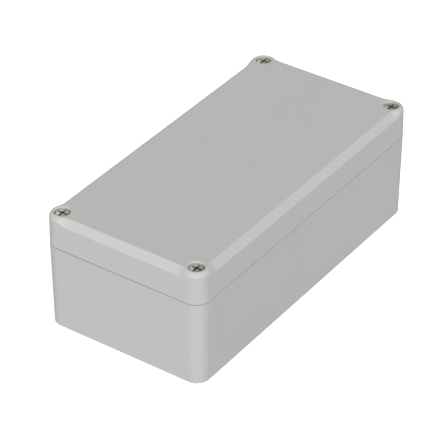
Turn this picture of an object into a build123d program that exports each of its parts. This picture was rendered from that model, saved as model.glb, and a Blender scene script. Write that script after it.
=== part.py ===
from build123d import *
from math import radians, sin, sqrt, tan
import os

# Screwed box of moulded polycarbonate: a deep base and a lid that closes on a seal.
# Millimetres. X runs along the length, Y across, Z up; the origin is the middle of the underside.

# Outside form
length = 160.0              # along X, at the parting line
width = 80.0                # along Y, at the parting line
base_height = 40.7          # underside to parting line
lid_height = 15.0           # parting line to the top
corner_radius = 6.5         # outside corners, seen from above
draft = 0.7                 # degrees: each half narrows away from the parting line
reveal_height = 0.5         # shadow gap round the box, under the edge of the lid
reveal_depth = 0.8

# Top edges of the lid: a flat bevel along each side that runs out before the screws,
# so that a rounded pad is left standing at each corner
lid_bevel = 3.0
rim_round = 2.4             # top edge round each pad
runout_middle = 3.2         # lid screw axis to the middle of the run-out, along the edge
runout_angle = 17.0         # degrees, the steepest rise of the bevel
runout_round = 9.0          # hollow and crest of the rise
runout_skim = 0.05          # how far the bevel has passed the rim when it ends
runout_tail = 2.0           # level end of the bevel's cutter, past the screw axis

# Walls
wall = 3.0                  # side walls at the parting line
floor = 3.5
lid_top = 3.0
cavity_round = 2.5          # corners of the cavity, seen from above

# Lid screws, one in each corner
screw_inset = 6.0           # outside face to screw axis, along X and along Y
head_radius = 3.15
head_height = 2.4
head_gap = 0.35             # round the head in its counterbore
head_recess = 0.7           # top of the head below the top of the lid
neck_radius = 1.6
thread_radius = 1.95
thread_clear = 0.1          # tip above the insert when the screw is fully out
cross_span = 5.0            # tip to tip of the cross recess
cross_arm = 1.0
cross_floor_span = 1.7
cross_depth = 1.6
screw_rise = 5.0            # travel that frees the thread from its insert
web = 2.5                   # lid between counterbore and ring pocket
web_gap = 0.6               # round the neck where it passes the web

# Retaining rings that keep the screws in the lid: each lies loose on the thread's shoulder
ring_radius = 3.2
ring_thickness = 0.8
ring_mouth = 2.2            # opening of the C
ring_stop = 0.4             # left under the web when the screw is fully out
ring_play = 0.1             # between the ring and the shoulder
ring_pocket_gap = 0.8       # round the ring in the lid
running_gap = 0.05          # round a shaft that turns

# Threaded inserts in the base
insert_length = 8.0
insert_wall = 0.8
insert_drop = 0.2           # top of the insert below the parting line
insert_fit = 0.02           # round an insert in its bore

# Wall fixing channels, beside the lid screws and outside the seal
fixing_pitch = 11.5         # lid screw axis to fixing axis, along X
fixing_hole_radius = 2.25
channel_radius = 4.25
channel_floor = 4.0
channel_wall = 2.5          # between a channel and the cavity

# Seal: a tongue on the base presses into a gasket in the groove of the lid
tongue_height = 4.5
tongue_width = 1.4
tongue_gap_outside = 0.2
tongue_gap_inside = 0.6
gasket_height = 2.5
gasket_fit = 0.05
rib_width = 1.2             # inner wall of the groove
rib_drop = 1.0              # the inner wall hangs below the parting line

# Floor bosses for a circuit board or mounting plate
boss_radius = 4.0
boss_height = 6.0
boss_hole_radius = 1.6
boss_hole_floor = 2.0       # left under the hole
boss_inset_x = 14.0         # outside face to boss axis
boss_inset_y = 20.0

# Places worked out from the sizes above
slope = tan(radians(draft))
top = base_height + lid_height
screw_x = length / 2 - screw_inset
screw_y = width / 2 - screw_inset
fixing_x = screw_x - fixing_pitch
fixing_y = screw_y
pillar_radius = channel_radius + channel_wall
cavity_x = length / 2 - wall
cavity_y = width / 2 - wall
block_x = fixing_x - pillar_radius
block_y = fixing_y - pillar_radius
boss_x = length / 2 - boss_inset_x
boss_y = width / 2 - boss_inset_y
head_top = top - head_recess
seat = head_top - head_height
web_bottom = seat - web
ring_top = web_bottom - ring_stop - screw_rise
ring_bottom = ring_top - ring_thickness
insert_top = base_height - insert_drop
insert_bottom = insert_top - insert_length
screw_tip = insert_top - screw_rise + thread_clear
thread_top = ring_bottom - ring_play
insert_bore = thread_radius + running_gap
insert_radius = insert_bore + insert_wall
groove_outside = tongue_width + tongue_gap_outside
groove_top = base_height + tongue_height + gasket_height
lid_cavity_inset = tongue_gap_inside + rib_width
over = 1.0                  # how far a cutter runs past the face that it opens
corners = [(sx, sy) for sx in (-1, 1) for sy in (-1, 1)]


def disc(radius, low, high, at=(0.0, 0.0)):
    """An upright cylinder from one height to another."""
    return Pos(at[0], at[1], low) * extrude(Circle(radius), high - low)


def drafted(outline, start, end, inset=0.0):
    """A form that narrows by the draft from one height to another."""
    narrowed = inset + slope * abs(end - start)
    return loft([Pos(0, 0, start) * outline(inset), Pos(0, 0, end) * outline(narrowed)], ruled=True)


def rounded(outline, spots, radius):
    """Round the corners of a flat outline that lie at the given spots."""
    picked = [v for v in outline.vertices()
              if any(abs(v.X - x) + abs(v.Y - y) < 0.01 for x, y in spots)]
    return fillet(picked, radius)


def rim(shape):
    """The outer edges of the highest face."""
    return shape.faces().sort_by(Axis.Z)[-1].outer_wire().edges()


def outer_outline(inset):
    """The rounded rectangle of the outside."""
    return RectangleRounded(length - 2 * inset, width - 2 * inset, corner_radius - inset)


def cavity_outline(inset):
    """The notched rectangle inside the four corner blocks, which the seal follows."""
    half_x, half_y = cavity_x - inset, cavity_y - inset
    notch_x, notch_y = block_x - inset, block_y - inset
    outline = Rectangle(2 * half_x, 2 * notch_y) + Rectangle(2 * notch_x, 2 * half_y)
    notches = [(sx * notch_x, sy * notch_y) for sx, sy in corners]
    ends = [(sx * half_x, sy * notch_y) for sx, sy in corners]
    ends += [(sx * notch_x, sy * half_y) for sx, sy in corners]
    outline = rounded(outline, notches, pillar_radius + inset)
    return rounded(outline, ends, cavity_round - inset)


def prism(outline, low, high):
    """A flat outline raised from one height to another."""
    return Pos(0, 0, low) * extrude(outline, high - low)


def four_corners(shape):
    """A shape made in the +X +Y corner, mirrored into all four."""
    pair = [shape, shape.mirror(Plane.YZ)]
    return pair + [s.mirror(Plane.XZ) for s in pair]


def base_shell():
    """Outer form of the base, hollowed beside its corner blocks, with the tongue on its rim."""
    ledge = base_height - reveal_height
    shell = drafted(outer_outline, ledge, 0) + prism(outer_outline(reveal_depth), ledge, base_height)
    tongue = cavity_outline(-tongue_width)
    shell += prism(tongue, base_height - over, base_height + tongue_height)
    return shell - prism(cavity_outline(0), floor, base_height + tongue_height)


def base():
    """Base with floor bosses, insert bores and wall fixing channels."""
    body = base_shell()
    for sx, sy in corners:
        at = (sx * boss_x, sy * boss_y)
        body += disc(boss_radius, floor, floor + boss_height, at)
        body -= disc(boss_hole_radius, boss_hole_floor, floor + boss_height, at)
        at = (sx * screw_x, sy * screw_y)
        body -= disc(insert_radius + insert_fit, insert_bottom, base_height, at)
        at = (sx * fixing_x, sy * fixing_y)
        body -= disc(channel_radius, channel_floor, base_height, at)
        body -= disc(fixing_hole_radius, 0, channel_floor, at)
    return body


def bevel_profile(reach):
    """Side view of the cutter for one bevel: flat along the middle, rising at both ends.

    X runs along the edge, Y is the height over the bevel."""
    rise = lid_bevel / sqrt(2) - (sqrt(2) - 1) * rim_round + runout_skim
    angle = radians(runout_angle)
    half_run = rise / tan(angle) / 2
    hollow = reach - runout_middle - half_run
    crest = reach - runout_middle + half_run
    end, far = reach + runout_tail, lid_bevel
    points = [(hollow, 0), (crest, rise), (end, rise), (end, far)]
    points += [(-x, y) for x, y in reversed(points)]
    spots = [(sign * hollow, 0) for sign in (-1, 1)] + [(sign * crest, rise) for sign in (-1, 1)]
    radius = min(runout_round, 0.45 * rise / sin(angle) / tan(angle / 2))
    return rounded(make_face(Polyline(points, close=True)), spots, radius)


def bevel_cutter(out, half_size, reach):
    """What the bevel takes off the top edge that lies on one side of the lid."""
    edge = out * (half_size - slope * lid_height) + Vector(0, 0, top)
    normal = (out + Vector(0, 0, 1)).normalized()
    along = Vector(0, 0, 1).cross(out)
    plane = Plane(origin=edge - normal * (lid_bevel / sqrt(2)), x_dir=along, z_dir=along.cross(normal))
    return extrude(plane * bevel_profile(reach), lid_bevel, both=True)


def lid_shell():
    """Outer form of the lid, bevelled between its corner pads, with its hollow and its rib."""
    body = drafted(outer_outline, base_height, top)
    body = fillet(rim(body), rim_round)
    for sign in (-1, 1):
        body -= bevel_cutter(Vector(sign, 0, 0), length / 2, screw_y)
        body -= bevel_cutter(Vector(0, sign, 0), width / 2, screw_x)
    rib_bottom = base_height - rib_drop
    body += prism(cavity_outline(tongue_gap_inside), rib_bottom, base_height + over)
    return body - prism(cavity_outline(lid_cavity_inset), rib_bottom, top - lid_top)


def corner_pocket():
    """Hollow in the underside of the lid, over one lid screw's ring and its fixing channel."""
    slot = SlotCenterToCenter(fixing_pitch, 2 * (ring_radius + ring_pocket_gap))
    return Pos(screw_x - fixing_pitch / 2, screw_y) * prism(slot, base_height, web_bottom)


def seal_groove():
    """The band between two insets of the cavity's outline that the lid leaves for the seal."""
    flat = cavity_outline(-groove_outside) - cavity_outline(tongue_gap_inside)
    return prism(flat, base_height, groove_top)


def lid():
    """Lid with its seal groove, corner pockets and counterbored screw holes."""
    body = lid_shell() - seal_groove()
    for pocket in four_corners(corner_pocket()):
        body -= pocket
    for sx, sy in corners:
        at = (sx * screw_x, sy * screw_y)
        body -= disc(head_radius + head_gap, seat, top, at)
        body -= disc(neck_radius + web_gap, web_bottom, seat, at)
    return body


def gasket():
    """Soft seal that fills the groove of the lid above the tongue."""
    flat = cavity_outline(gasket_fit - groove_outside) - cavity_outline(tongue_gap_inside - gasket_fit)
    return prism(flat, base_height + tongue_height, groove_top)


def cross_recess():
    """Cross slot for a screwdriver, cut down from height zero, narrower at its floor."""
    half, half_floor = cross_span / 2, cross_floor_span / 2
    side = Polyline((-half, 0), (half, 0), (half_floor, -cross_depth), (-half_floor, -cross_depth),
                    close=True)
    arm = extrude(Plane.XZ * make_face(side), cross_arm / 2, both=True)
    return arm + Rot(0, 0, 90) * arm


def lid_screw():
    """Captive screw: cheese head, thin neck that the ring slides on, short thread at the tip."""
    profile = Polyline(
        (0, screw_tip), (thread_radius, screw_tip), (thread_radius, thread_top),
        (neck_radius, thread_top), (neck_radius, seat),
        (head_radius, seat), (head_radius, head_top), (0, head_top), close=True)
    screw = revolve(Plane.XZ * make_face(profile), Axis.Z)
    return screw - Pos(0, 0, head_top) * cross_recess()


def retaining_ring():
    """Open ring that a screw's thread carries up with it."""
    flat = Circle(ring_radius) - Circle(neck_radius + running_gap)
    flat -= Pos(ring_radius, 0) * Rectangle(2 * ring_radius, ring_mouth)
    return prism(flat, ring_bottom, ring_top)


def lid_insert():
    """Bush in the base that takes the thread of one lid screw."""
    return prism(Circle(insert_radius) - Circle(insert_bore), insert_bottom, insert_top)


def save(shape, name):
    """Write one piece to its own file."""
    export_step(shape, f"parts/{name}.step")


if __name__ == "__main__":
    os.makedirs("parts", exist_ok=True)
    save(base(), "base")
    save(lid(), "lid")
    save(gasket(), "gasket")
    for number, (sx, sy) in enumerate(corners, start=1):
        place = Pos(sx * screw_x, sy * screw_y)
        save(place * lid_screw(), f"lid_screw_{number}")
        save(place * Rot(0, 0, 90 - 90 * sx) * retaining_ring(), f"retaining_ring_{number}")
        save(place * lid_insert(), f"lid_insert_{number}")
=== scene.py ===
# %% [markdown]
# A screwed box of moulded polycarbonate, dressed for a studio picture
# The real object is a small sealed housing for electronics: a deep base, a lid that closes on a
# soft seal, and four captive screws that stand in rounded pads at the corners. Its exact solids
# come from a CAD model, so this lesson doesn't rebuild them. It takes each solid as a fixed frame,
# gives it the finish of its real material, and adds what is too fine for CAD, such as threads.

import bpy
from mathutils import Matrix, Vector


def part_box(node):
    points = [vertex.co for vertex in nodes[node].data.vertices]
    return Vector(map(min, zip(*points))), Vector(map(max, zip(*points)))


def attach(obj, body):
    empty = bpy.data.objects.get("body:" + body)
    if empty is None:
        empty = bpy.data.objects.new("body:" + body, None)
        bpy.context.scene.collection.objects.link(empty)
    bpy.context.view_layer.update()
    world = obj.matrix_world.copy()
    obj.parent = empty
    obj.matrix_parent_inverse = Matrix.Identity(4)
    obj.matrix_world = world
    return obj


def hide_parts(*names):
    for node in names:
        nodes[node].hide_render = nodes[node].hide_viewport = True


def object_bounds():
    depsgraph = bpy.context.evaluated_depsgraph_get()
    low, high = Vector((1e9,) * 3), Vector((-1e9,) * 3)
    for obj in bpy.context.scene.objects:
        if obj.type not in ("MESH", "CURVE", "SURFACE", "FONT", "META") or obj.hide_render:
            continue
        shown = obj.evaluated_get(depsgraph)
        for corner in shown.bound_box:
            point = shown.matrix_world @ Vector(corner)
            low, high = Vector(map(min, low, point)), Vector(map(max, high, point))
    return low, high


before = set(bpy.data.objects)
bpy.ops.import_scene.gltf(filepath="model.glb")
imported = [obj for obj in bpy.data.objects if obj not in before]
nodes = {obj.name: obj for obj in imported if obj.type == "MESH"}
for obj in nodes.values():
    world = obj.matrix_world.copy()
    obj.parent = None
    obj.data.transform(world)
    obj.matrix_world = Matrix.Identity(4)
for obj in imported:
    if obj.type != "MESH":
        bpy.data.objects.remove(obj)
cad_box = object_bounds()
print("solids:", len(nodes), "size in mm:", [round(1000 * v, 1) for v in cad_box[1] - cad_box[0]])

# %% [markdown]
# Units and colours
# A scene is in metres, but a housing is drawn in millimetres, so every size below is written in
# millimetres and multiplied by one factor. Colours are picked as sRGB hex values, as on a screen.
# A shader wants linear light instead, and one function does that conversion for all of them.

# %% Millimetres and sRGB
from math import cos, pi, radians, sin

import bmesh
import bpy
from mathutils import Vector

mm = 0.001


def linear(hex_colour):
    """An sRGB hex colour as the linear RGBA that a shader socket takes."""
    parts = [int(hex_colour[i:i + 2], 16) / 255 for i in (1, 3, 5)]
    return [v / 12.92 if v <= 0.04045 else ((v + 0.055) / 1.055) ** 2.4 for v in parts] + [1.0]


print("half-way grey #808080 in linear light:", round(linear("#808080")[0], 3))

# %% [markdown]
# One helper for every shader node
# A node needs three things: its own settings, plain values, and links from other nodes. One small
# function takes all three, and a socket given as a value becomes a link. A second one makes the
# empty material that the nodes go into.

# %% Add a node
def add(tree, kind, settings=None, **inputs):
    """Add a node with its settings; an input is a plain value or a socket to link from."""
    node = tree.nodes.new(kind)
    for name, value in (settings or {}).items():
        setattr(node, name, value)
    for name, value in inputs.items():
        socket = node.inputs[name.replace("_", " ")]
        if isinstance(value, bpy.types.NodeSocket):
            tree.links.new(value, socket)
        else:
            socket.default_value = value
    return node


def new_material(name):
    """A material with an empty node tree, and that tree."""
    material = bpy.data.materials.new(name)
    material.use_nodes = True
    material.node_tree.nodes.clear()
    print("new material:", name)
    return material, material.node_tree


print("helpers:", add.__name__, "and", new_material.__name__)

# %% [markdown]
# Polycarbonate, injection moulded in a spark-eroded mould
# The halves of the box are solid polycarbonate in a light technical grey. Polished polycarbonate
# is glassy, but a housing mould is eroded by sparks, which prints a fine matt grain on the part:
# the eye gets a soft sheen with no mirror image. A single flat colour would look like paper, so
# the gloss and the tone drift a little over a few centimetres, as where the melt cooled unevenly.
# Every pattern here is laid out in object coordinates, which are metres on the object itself.

# %% Polycarbonate
def polycarbonate():
    material, tree = new_material("polycarbonate_light_grey_eroded")
    place = add(tree, "ShaderNodeTexCoord").outputs["Object"]
    # The real grain is about 0.05 mm across; it is drawn at 0.25 mm, because finer can't show
    grain = add(tree, "ShaderNodeTexNoise", Vector=place, Scale=1 / (0.25 * mm), Detail=2.0,
                Roughness=0.6)
    # Flow of the melt: soft patches about 35 mm across
    flow = add(tree, "ShaderNodeTexNoise", Vector=place, Scale=1 / (35 * mm), Detail=2.0)
    tone = add(tree, "ShaderNodeMix", {"data_type": "RGBA"}, Factor=flow.outputs["Fac"],
               A=linear("#C3C3C1"), B=linear("#C7C7C5"))
    gloss = add(tree, "ShaderNodeMapRange", Value=flow.outputs["Fac"], To_Min=0.60, To_Max=0.66)
    relief = add(tree, "ShaderNodeBump", Height=grain.outputs["Fac"], Strength=0.05,
                 Distance=0.01 * mm)
    # Polycarbonate bends light more than most plastics: its IOR is 1.585
    shader = add(tree, "ShaderNodeBsdfPrincipled", Base_Color=tone.outputs["Result"],
                 Roughness=gloss.outputs["Result"], Normal=relief.outputs["Normal"], IOR=1.585)
    add(tree, "ShaderNodeOutputMaterial", Surface=shader.outputs["BSDF"])
    return material


housing_material = polycarbonate()

# %% [markdown]
# A skin over rings of points
# A screw's body, its cross recess, the bush that it bites into and the ridge of a thread are all
# the same kind of form: a row of closed outlines with a skin between them. One function makes that
# skin, so each piece only has to say where its outlines lie.

# %% Skin and circle
def skin(work, rings):
    """Join equal rings of points into one closed surface and cap both ends."""
    rows = [[work.verts.new(p) for p in ring] for ring in rings]
    count = len(rows[0])
    for low, high in zip(rows, rows[1:]):
        for i in range(count):
            j = (i + 1) % count
            work.faces.new((low[i], low[j], high[j], high[i]))
    work.faces.new(rows[0][::-1])
    work.faces.new(rows[-1])
    bmesh.ops.recalc_face_normals(work, faces=work.faces)


def circle(centre, radius, height, steps=48):
    """Points round an upright axis."""
    turns = [2 * pi * i / steps for i in range(steps)]
    return [(centre.x + radius * cos(t), centre.y + radius * sin(t), height) for t in turns]


def solid_mesh(name, rings, materials, material_slot=0):
    """A mesh from one skin, whose faces all use one of the material slots."""
    work = bmesh.new()
    skin(work, rings)
    for face in work.faces:
        face.material_index = material_slot
    mesh = bpy.data.meshes.new(name)
    work.to_mesh(mesh)
    work.free()
    for material in materials:
        mesh.materials.append(material)
    return mesh


print("points in a circle:", len(circle(Vector(), mm, 0)))

# %% [markdown]
# Modifiers as tools
# A modifier usually stays on its object, where it can still be changed. Here a bevel or a Boolean
# works once, like a tool in a workshop, and its result is the blank for the next step. That keeps
# the order of the work plain: the edges of the lid are rounded first and its holes cut afterwards.

# %% Apply a modifier, cut with a mesh
def applied(mesh, modifier_kind, **settings):
    """The mesh with one modifier applied, in place of the mesh itself."""
    holder = bpy.data.objects.new("holder", mesh)
    bpy.context.scene.collection.objects.link(holder)
    modifier = holder.modifiers.new("step", modifier_kind)
    for name, value in settings.items():
        setattr(modifier, name, value)
    shown = holder.evaluated_get(bpy.context.evaluated_depsgraph_get())
    result = bpy.data.meshes.new_from_object(shown)
    bpy.data.objects.remove(holder)
    bpy.data.meshes.remove(mesh)
    return result


def cut(mesh, cutter_mesh):
    """The first mesh less the second; both are used up."""
    cutter = bpy.data.objects.new("cutter", cutter_mesh)
    bpy.context.scene.collection.objects.link(cutter)
    result = applied(mesh, "BOOLEAN", object=cutter, solver="EXACT")
    bpy.data.objects.remove(cutter)
    bpy.data.meshes.remove(cutter_mesh)
    return result


print("tools:", applied.__name__, "and", cut.__name__)

# %% [markdown]
# Pieces that stand for solids
# Each dressed mesh takes the place of one solid. It moves with that solid's body, gets its finish
# in its own material slots, and hides the solid, which goes on serving for the motion.

# %% Shade and show a piece
corners = (1, 2, 3, 4)       # the screws, rings and bushes are numbered by corner


def smooth_by_angle(mesh, angle):
    """Shade a mesh smooth, with hard edges where it turns by more than the angle in degrees."""
    mesh.shade_smooth()
    mesh.set_sharp_from_angle(angle=radians(angle))


def show(mesh, name, materials, body, replaced):
    """Put a mesh in the scene as a piece that rides on a body and stands for a CAD node."""
    piece = bpy.data.objects.new(name, mesh)
    bpy.context.scene.collection.objects.link(piece)
    for place, material in enumerate(materials):
        if place < len(mesh.materials):
            mesh.materials[place] = material
        else:
            mesh.materials.append(material)
    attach(piece, body)
    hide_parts(replaced)
    print("shown", name, "with", len(mesh.polygons), "faces")
    return piece


print("corners:", len(corners))

# %% [markdown]
# Soft meshes from hard solids
# A solid that comes from CAD is cut into flat triangles with every edge hard. A moulded part has
# no such facets and no edge that is quite sharp, so each half is copied, its triangles are welded,
# its edges are rounded by a bevel, and it is shaded smooth wherever two facets meet at a small
# angle. Flat faces must stay flat, so large faces get more say in each shared normal.

# %% Copy a solid with soft edges
smallest_step = 0.04 * mm    # corners closer than this are welded
flat_angle = 1.5             # degrees: triangles that turn by less become one face
facet_angle = 12             # round walls turn by up to 8.6 degrees a step; more is a real edge
edge_angle = 30              # edges that turn by less aren't rounded


def soft_copy(node, name, material, body, edge_radius, segments=2, cutters=()):
    """A welded copy of a solid with rounded edges, smooth where it is curved, flat elsewhere."""
    mesh = nodes[node].data.copy()
    work = bmesh.new()
    work.from_mesh(mesh)
    bmesh.ops.remove_doubles(work, verts=work.verts, dist=smallest_step)
    bmesh.ops.dissolve_degenerate(work, dist=smallest_step, edges=work.edges)
    bmesh.ops.dissolve_limit(work, angle_limit=radians(flat_angle), verts=work.verts,
                             edges=work.edges)
    work.to_mesh(mesh)
    work.free()
    smooth_by_angle(mesh, facet_angle)
    mesh = applied(mesh, "BEVEL", width=edge_radius, segments=segments, limit_method="ANGLE",
                   angle_limit=radians(edge_angle), use_clamp_overlap=False)
    for cutter in cutters:
        mesh = cut(mesh, cutter)
    piece = show(mesh, name, [material], body, node)
    weighted = piece.modifiers.new("flat faces stay flat", "WEIGHTED_NORMAL")
    weighted.keep_sharp = True


print("corners welded below", smallest_step / mm, "mm")

# %% [markdown]
# The two halves
# The mould leaves a tiny radius on every edge. The mouth of each counterbore is broken further, by
# a cone, so that a head slips in easily: from afar it is a thin bright arc above a dark ring. The
# cones have as many sides as the counterbores, so that their corners meet.

# %% Soften the two halves
mould_edge = 0.08 * mm
counterbore_radius, counterbore_sides = 3.5 * mm, 42
rim_chamfer = 0.3 * mm
cone_overrun = 0.5 * mm      # how far a cone runs past both edges of its chamfer

cones = []
for number in corners:
    low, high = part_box(f"lid_screw_{number}")
    cones.append(solid_mesh("cone", [
        circle((low + high) / 2, counterbore_radius + step, cad_box[1].z - rim_chamfer + step,
               counterbore_sides) for step in (-cone_overrun, rim_chamfer + cone_overrun)], []))

soft_copy("base", "base_moulding", housing_material, "base", mould_edge)
soft_copy("lid", "lid_moulding", housing_material, "lid", mould_edge, cutters=cones)

# %% [markdown]
# Stainless steel, cold headed
# The lid screws are pressed from stainless wire and tumbled. The metal is bright but its surface
# is slightly soft, so reflections blur, more in some spots than in others. Tumbling doesn't reach
# into the cross, so its walls stay rougher. They are also painted darker and browner: painted
# shade for the deep, narrow recess.

# %% Stainless steel
def stainless_steel():
    material, tree = new_material("stainless_steel_cold_headed")
    place = add(tree, "ShaderNodeTexCoord").outputs["Object"]
    # Tumbling leaves dull spots about 0.4 mm across
    spots = add(tree, "ShaderNodeTexNoise", Vector=place, Scale=1 / (0.4 * mm), Detail=3.0)
    gloss = add(tree, "ShaderNodeMapRange", Value=spots.outputs["Fac"], To_Min=0.18, To_Max=0.34)
    relief = add(tree, "ShaderNodeBump", Height=spots.outputs["Fac"], Strength=0.1,
                 Distance=0.01 * mm)
    shader = add(tree, "ShaderNodeBsdfPrincipled", Base_Color=linear("#C9C2B8"), Metallic=1.0,
                 Roughness=gloss.outputs["Result"], Normal=relief.outputs["Normal"])
    add(tree, "ShaderNodeOutputMaterial", Surface=shader.outputs["BSDF"])
    return material


def recess_steel_painted_shade():
    material, tree = new_material("stainless_steel_recess_painted_shade")
    place = add(tree, "ShaderNodeTexCoord").outputs["Object"]
    # The punch leaves scuffs about 0.1 mm across; they are drawn at 0.2 mm to show
    scuffs = add(tree, "ShaderNodeTexNoise", Vector=place, Scale=1 / (0.2 * mm), Detail=2.0)
    gloss = add(tree, "ShaderNodeMapRange", Value=scuffs.outputs["Fac"], To_Min=0.45, To_Max=0.65)
    # The darker, browner base colour is painted shade in the recess, not a colour of the steel
    shader = add(tree, "ShaderNodeBsdfPrincipled", Base_Color=linear("#8C8074"), Metallic=1.0,
                 Roughness=gloss.outputs["Result"])
    add(tree, "ShaderNodeOutputMaterial", Surface=shader.outputs["BSDF"])
    return material


screw_materials = [stainless_steel(), recess_steel_painted_shade()]

# %% [markdown]
# The thread
# An M4 thread climbs 0.7 mm with each turn. A true thread is a groove cut from a bar, but a ridge
# wound round a thinner core looks the same and needs no cutting. The ridge is a row of small
# triangles along a helix, right-handed, and it fades out at both ends as a rolled thread does. A
# bush's inner thread is the same ridge with its crest inward.

# %% Ridge of a thread
pitch = 0.7 * mm
thread_steps = 24            # outlines in one turn
first_steps = 3              # the ridge starts this many steps into its fade, never quite flat
ridge_half = 0.24 * pitch    # half the ridge's height, where it leaves the wall
ridge_sink = 0.02 * mm       # how deep the ridge stands in the wall that carries it
thread_angle = 25            # the ridge turns by 15 degrees a step; more is a real edge


def with_thread(mesh, centre, root, crest, low, high):
    """Wind a right-handed ridge from one height to another, between its root and crest radius."""
    steps = int((high - low) / pitch * thread_steps)
    axis = Vector((centre.x, centre.y, 0))
    rings = []
    for i in range(steps + 1):
        turn = 2 * pi * i / thread_steps
        height = low + pitch * i / thread_steps
        nearest_end = min(i, steps - i)
        fade = min(1.0, (nearest_end + first_steps) / thread_steps)
        tip = root + (crest - root) * fade
        out = Vector((cos(turn), sin(turn), 0))
        rings.append([axis + out * r + Vector((0, 0, height + rise))
                      for r, rise in ((root, -ridge_half), (tip, 0.0), (root, ridge_half))])
    work = bmesh.new()
    skin(work, rings)
    work.from_mesh(mesh)
    work.to_mesh(mesh)
    work.free()
    smooth_by_angle(mesh, thread_angle)
    return mesh


print("thread pitch in mm:", round(pitch / mm, 2))

# %% [markdown]
# Outline of a captive screw
# Each screw is a cheese head, a thin neck that a retaining ring slides on, and a short thread at
# the tip, whose plain collar carries the ring. The CAD solid has the same outline with sharp
# edges. Here the outline has a rounded top edge, because that edge catches the light, and a low
# crown.

# %% Outline of a screw
head_height = 2.4 * mm
head_edge = 0.5 * mm         # its round side looks dark against the bright top
head_edge_steps = 5
head_crown = 0.1 * mm        # the top of the head is slightly domed
seat_edge = 0.15 * mm        # bevel under the head
neck_radius = 1.6 * mm
thread_radius = 1.95 * mm
collar = 0.3 * mm            # plain part above the thread
tip_edge = 0.3 * mm          # bevel at the tip


def screw_profile(low, shoulder, high, head_radius):
    """Radius and height along a screw, from its tip to the top of its head."""
    seat = high - head_height
    rim = high - head_crown
    points = [(neck_radius - tip_edge, low), (neck_radius, low + tip_edge),
              (neck_radius, shoulder - collar), (thread_radius, shoulder - collar),
              (thread_radius, shoulder), (neck_radius, shoulder), (neck_radius, seat),
              (head_radius - seat_edge, seat), (head_radius, seat + seat_edge)]
    for i in range(head_edge_steps + 1):
        a = radians(90) * i / head_edge_steps
        points.append((head_radius - head_edge * (1 - cos(a)), rim - head_edge * (1 - sin(a))))
    flat = head_radius - head_edge
    points += [(flat * r, high - head_crown * r * r) for r in (0.75, 0.5, 0.25, 0.05)]
    return points


print("head height in mm:", round(head_height / mm, 1))

# %% [markdown]
# The cross recess
# The recess is a tapered cross: wide at the mouth, narrow at the floor, with its inner corners
# broken, as a driver bit needs. Its walls would be hard to model inside the head, so the cross is
# a solid of its own that is cut from it, and the cut faces keep the cutter's steel, whose darker
# colour is painted shade.

# %% Cross recess
recess_depth = 1.6 * mm
recess_overrun = 0.5 * mm    # how far the cutter stands out of the head
# Half the span, half the width of an arm, and how far an inner corner is cut back
recess_floor = (0.85 * mm, 0.30 * mm, 0.15 * mm)
recess_mouth = (2.50 * mm, 0.42 * mm, 0.20 * mm)


def cross(centre, half_span, half_arm, corner, height):
    """The outline of a cross in line with the box, with its four inner corners cut off."""
    quarter = [(half_span, -half_arm), (half_span, half_arm), (half_arm + corner, half_arm),
               (half_arm, half_arm + corner)]
    points = []
    for i in range(4):
        a = radians(90 * i)
        points += [(centre.x + x * cos(a) - y * sin(a), centre.y + x * sin(a) + y * cos(a), height)
                   for x, y in quarter]
    return points


print("recess span in mm:", round(2 * recess_mouth[0] / mm, 1))

# %% [markdown]
# Four screws
# Each blank is spun from the outline, the cross is cut from it, and the thread comes last, so that
# the cut never meets the fine ridge. Heights and the head's width are read from the solids.

# %% Build the four screws
ring_play = 0.1 * mm         # between a ring and the shoulder that carries it
thread_gap = 0.4 * mm        # bare metal below and above the ridge

for number in corners:
    low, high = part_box(f"lid_screw_{number}")
    centre = (low + high) / 2
    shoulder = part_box(f"retaining_ring_{number}")[0].z - ring_play
    profile = screw_profile(low.z, shoulder, high.z, (high.x - low.x) / 2)
    blank = solid_mesh("screw", [circle(centre, r, z) for r, z in profile], screw_materials)
    recess = solid_mesh("recess", [
        cross(centre, *recess_floor, high.z - recess_depth),
        cross(centre, *recess_mouth, high.z),
        cross(centre, *recess_mouth, high.z + recess_overrun)], screw_materials, material_slot=1)
    screw_thread_start = low.z + thread_gap
    screw = with_thread(cut(blank, recess), centre, neck_radius - ridge_sink, thread_radius,
                        screw_thread_start, shoulder - thread_gap)
    show(screw, f"lid_screw_{number}_turned", screw_materials, f"screw_{number}",
         f"lid_screw_{number}")

# %% [markdown]
# Brass, turned
# Each screw bites into a brass bush in the base. Brass is turned from bar, so the eye gets a warm
# bright metal whose gloss is broken by the fine marks of the tool.

# %% Brass
def turned_brass():
    material, tree = new_material("brass_turned")
    place = add(tree, "ShaderNodeTexCoord").outputs["Object"]
    # Tool marks on a small lathe are about 0.05 mm apart; they are drawn at 0.15 mm to show
    marks = add(tree, "ShaderNodeTexNoise", Vector=place, Scale=1 / (0.15 * mm), Detail=1.0)
    gloss = add(tree, "ShaderNodeMapRange", Value=marks.outputs["Fac"], To_Min=0.22, To_Max=0.38)
    shader = add(tree, "ShaderNodeBsdfPrincipled", Base_Color=linear("#D9B86B"), Metallic=1.0,
                 Roughness=gloss.outputs["Result"])
    add(tree, "ShaderNodeOutputMaterial", Surface=shader.outputs["BSDF"])
    return material


bush_materials = [turned_brass()]

# %% [markdown]
# Threaded bushes
# A bush is a plain cylinder less its bore, which widens at the mouth so that the screw finds its
# way in. The bore gets the matching thread, half a pitch away from the screw's own ridge, so that
# the two mesh at every turn.

# %% Build the four bushes
bore_radius = 2.0 * mm
bore_crest = 1.7 * mm        # the inner thread reaches in to here
bush_edge = 0.15 * mm        # bevel outside, at both ends
bore_mouth = 0.3 * mm        # bevel inside, at the top
bore_overrun = 1 * mm        # how far the cutter runs past both ends
bush_thread_start = screw_thread_start - 4.5 * pitch

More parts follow.
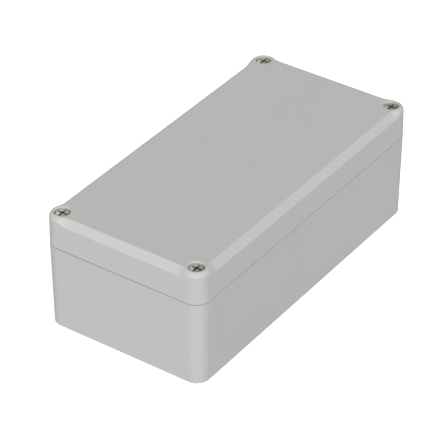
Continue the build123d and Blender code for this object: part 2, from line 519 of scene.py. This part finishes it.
for number in corners:
    low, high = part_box(f"lid_insert_{number}")
    centre = (low + high) / 2
    outside = (high.x - low.x) / 2
    profile = [(outside - bush_edge, low.z), (outside, low.z + bush_edge),
               (outside, high.z - bush_edge), (outside - bush_edge, high.z)]
    blank = solid_mesh("bush", [circle(centre, r, z) for r, z in profile], bush_materials)
    profile = [(bore_radius, low.z - bore_overrun), (bore_radius, high.z - bore_mouth),
               (bore_radius + bore_mouth, high.z),
               (bore_radius + bore_mouth, high.z + bore_overrun)]
    bore = solid_mesh("bore", [circle(centre, r, z) for r, z in profile], bush_materials)
    bush = with_thread(cut(blank, bore), centre, bore_radius + ridge_sink, bore_crest,
                       bush_thread_start, high.z - bore_mouth)
    show(bush, f"lid_insert_{number}_turned", bush_materials, "base",
         f"lid_insert_{number}")

# %% [markdown]
# Spring steel rings, stamped
# A thin open ring snaps on each screw's neck and keeps the screw in the lid. It is stamped from
# hardened strip, so it is a little darker than the screws, its faces are even, and the die draws
# its edges over: the same soft copy as before, with another radius.

# %% Spring steel
def spring_steel():
    material, tree = new_material("spring_steel_stamped")
    place = add(tree, "ShaderNodeTexCoord").outputs["Object"]
    # Rolling leaves an uneven sheen on the strip, in spots about 0.2 mm across
    sheen = add(tree, "ShaderNodeTexNoise", Vector=place, Scale=1 / (0.2 * mm), Detail=2.0)
    gloss = add(tree, "ShaderNodeMapRange", Value=sheen.outputs["Fac"], To_Min=0.28, To_Max=0.42)
    shader = add(tree, "ShaderNodeBsdfPrincipled", Base_Color=linear("#9A9A98"), Metallic=1.0,
                 Roughness=gloss.outputs["Result"])
    add(tree, "ShaderNodeOutputMaterial", Surface=shader.outputs["BSDF"])
    return material


ring_material = spring_steel()
stamped_edge = 0.1 * mm
for number in corners:
    ring = f"retaining_ring_{number}"
    soft_copy(ring, f"{ring}_stamped", ring_material, f"ring_{number}", stamped_edge)

# %% [markdown]
# Foamed seal
# The seal is a soft black elastomer, foamed so that the tongue can press into it. Its skin is dull
# and finely pitted by the cells below, so it hardly shines. It is laid in the groove as a soft
# bead, so its edges are much rounder than those of the housing: the same copy with a wider bevel
# in more steps.

# %% Seal
def foamed_rubber():
    material, tree = new_material("rubber_foamed_black")
    place = add(tree, "ShaderNodeTexCoord").outputs["Object"]
    # Cells are about 0.1 mm across; they are drawn at 0.4 mm so that the pits show
    cells = add(tree, "ShaderNodeTexVoronoi", Vector=place, Scale=1 / (0.4 * mm))
    relief = add(tree, "ShaderNodeBump", Height=cells.outputs["Distance"], Strength=0.3,
                 Distance=0.05 * mm)
    # Rubber's IOR is about 1.52
    shader = add(tree, "ShaderNodeBsdfPrincipled", Base_Color=linear("#2A2A2A"), Roughness=0.85,
                 IOR=1.52, Normal=relief.outputs["Normal"])
    add(tree, "ShaderNodeOutputMaterial", Surface=shader.outputs["BSDF"])
    return material


bead_round, bead_steps = 0.6 * mm, 5
soft_copy("gasket", "gasket_bead", foamed_rubber(), "lid", bead_round, bead_steps)

# %% [markdown]
# The camera
# A long lens far away shows a box with almost parallel edges, as catalogue pictures do. The angle,
# the distance and the lens below were fitted to the straight edges of the box in the photograph.

# %% Camera
photo_width = 444            # pixels; the photograph is square
focal_length_in_pixels = 2404
azimuth, elevation = radians(-55.04), radians(34.88)
distance = 1082.3 * mm
aim = Vector((22.0, 20.7, 0.7)) * mm
towards_camera = Vector((sin(azimuth) * cos(elevation), -cos(azimuth) * cos(elevation),
                         sin(elevation)))

camera = bpy.data.objects.new("camera", bpy.data.cameras.new("camera"))
camera.data.sensor_width = 36.0
camera.data.lens = focal_length_in_pixels * camera.data.sensor_width / photo_width
camera.location = aim + distance * towards_camera
camera.rotation_euler = towards_camera.to_track_quat("Z", "Y").to_euler()
bpy.context.scene.collection.objects.link(camera)
bpy.context.scene.camera = camera
print("lens in mm:", round(camera.data.lens, 1))

# %% [markdown]
# The floor
# The box stands on a plain white sweep that curves up far behind it, so no horizon shows from any
# side. The sweep glows a little, which keeps it white, and it is hidden from the rays that light
# the box. It could be a plane and a wall, but their corner would show as a line.

# %% Sweep
def white_sweep():
    material, tree = new_material("paper_sweep_white")
    shader = add(tree, "ShaderNodeBsdfPrincipled", Base_Color=linear("#F4F4F4"), Roughness=0.9,
                 Emission_Color=linear("#FFFFFF"), Emission_Strength=0.8)
    add(tree, "ShaderNodeOutputMaterial", Surface=shader.outputs["BSDF"])
    return material


# In metres: the flat part, the bend round it, its innermost loop, and the top of the wall
flat_radius, bend_radius, hub_radius, wall_top = 2.5, 1.5, 0.01, 4.0
floor_level = -0.05 * mm     # a hair below the box, so that the two flat faces don't flicker
bend = [radians(a) for a in range(10, 91, 10)]
rows = [(hub_radius, floor_level), (flat_radius, floor_level)]
rows += [(flat_radius + bend_radius * sin(a), floor_level + bend_radius * (1 - cos(a)))
         for a in bend]
rows.append((flat_radius + bend_radius, wall_top))
work = bmesh.new()
loops = [[work.verts.new(p) for p in circle(Vector(), r, z)] for r, z in rows]
work.faces.new(loops[0])
for low, high in zip(loops, loops[1:]):
    for i in range(len(low)):
        work.faces.new((low[i - 1], low[i], high[i], high[i - 1]))
sweep_mesh = bpy.data.meshes.new("sweep")
work.to_mesh(sweep_mesh)
work.free()
sweep_mesh.shade_smooth()
sweep_mesh.materials.append(white_sweep())
sweep = bpy.data.objects.new("sweep", sweep_mesh)
bpy.context.scene.collection.objects.link(sweep)
sweep.visible_diffuse = False
sweep.visible_glossy = False
sweep.visible_shadow = False
print("sweep faces:", len(sweep_mesh.polygons))

# %% [markdown]
# The light
# A studio would hang one very wide cloth beside the camera. Here it is three soft far lights, a
# key and two weaker wings, over an even pale surround: faces that look at the camera are the
# brightest, and no edge casts a hard shadow.

# %% Light
def soft_light(name, strength, width, towards):
    """A far round light, as wide as the angle in degrees, that shines from one direction."""
    light = bpy.data.objects.new(name, bpy.data.lights.new(name, "SUN"))
    light.data.energy = strength
    light.data.angle = radians(width)
    light.rotation_euler = Vector(towards).to_track_quat("Z", "Y").to_euler()
    bpy.context.scene.collection.objects.link(light)
    return light


key = soft_light("soft_key", 1.55, 35, (-0.67, -0.49, 0.50))
# Its two wings wrap the light round both sides, so a round corner turns evenly from side to side
soft_light("left_wing", 0.82, 40, (-0.90, 0.35, 0.30))
soft_light("front_wing", 0.80, 40, (0.00, -0.84, 0.54))
# A pale board behind the box on the left: only shiny metal shows it, on one side of each head
board = soft_light("pale_board", 0.23, 40, (0.52, 0.74, 0.42))
board.visible_diffuse = False
# A low fill from behind lifts only the two far sides, so the plastic is one grey all round
fill = soft_light("back_fill", 0.9, 10, (0.70, 0.70, -0.10))
fill.visible_glossy = False

world = bpy.data.worlds.new("pale_surround")
bpy.context.scene.world = world
world.use_nodes = True
world.node_tree.nodes.clear()
surround = add(world.node_tree, "ShaderNodeBackground", Color=linear("#FFFFFF"), Strength=0.352)
add(world.node_tree, "ShaderNodeOutputWorld", Surface=surround.outputs["Background"])

# Standard keeps the greys as measured, where a film-like view would flatten them
bpy.context.scene.view_settings.view_transform = "Standard"
print("key:", round(key.data.energy, 2), "surround:",
      round(surround.inputs["Strength"].default_value, 3))
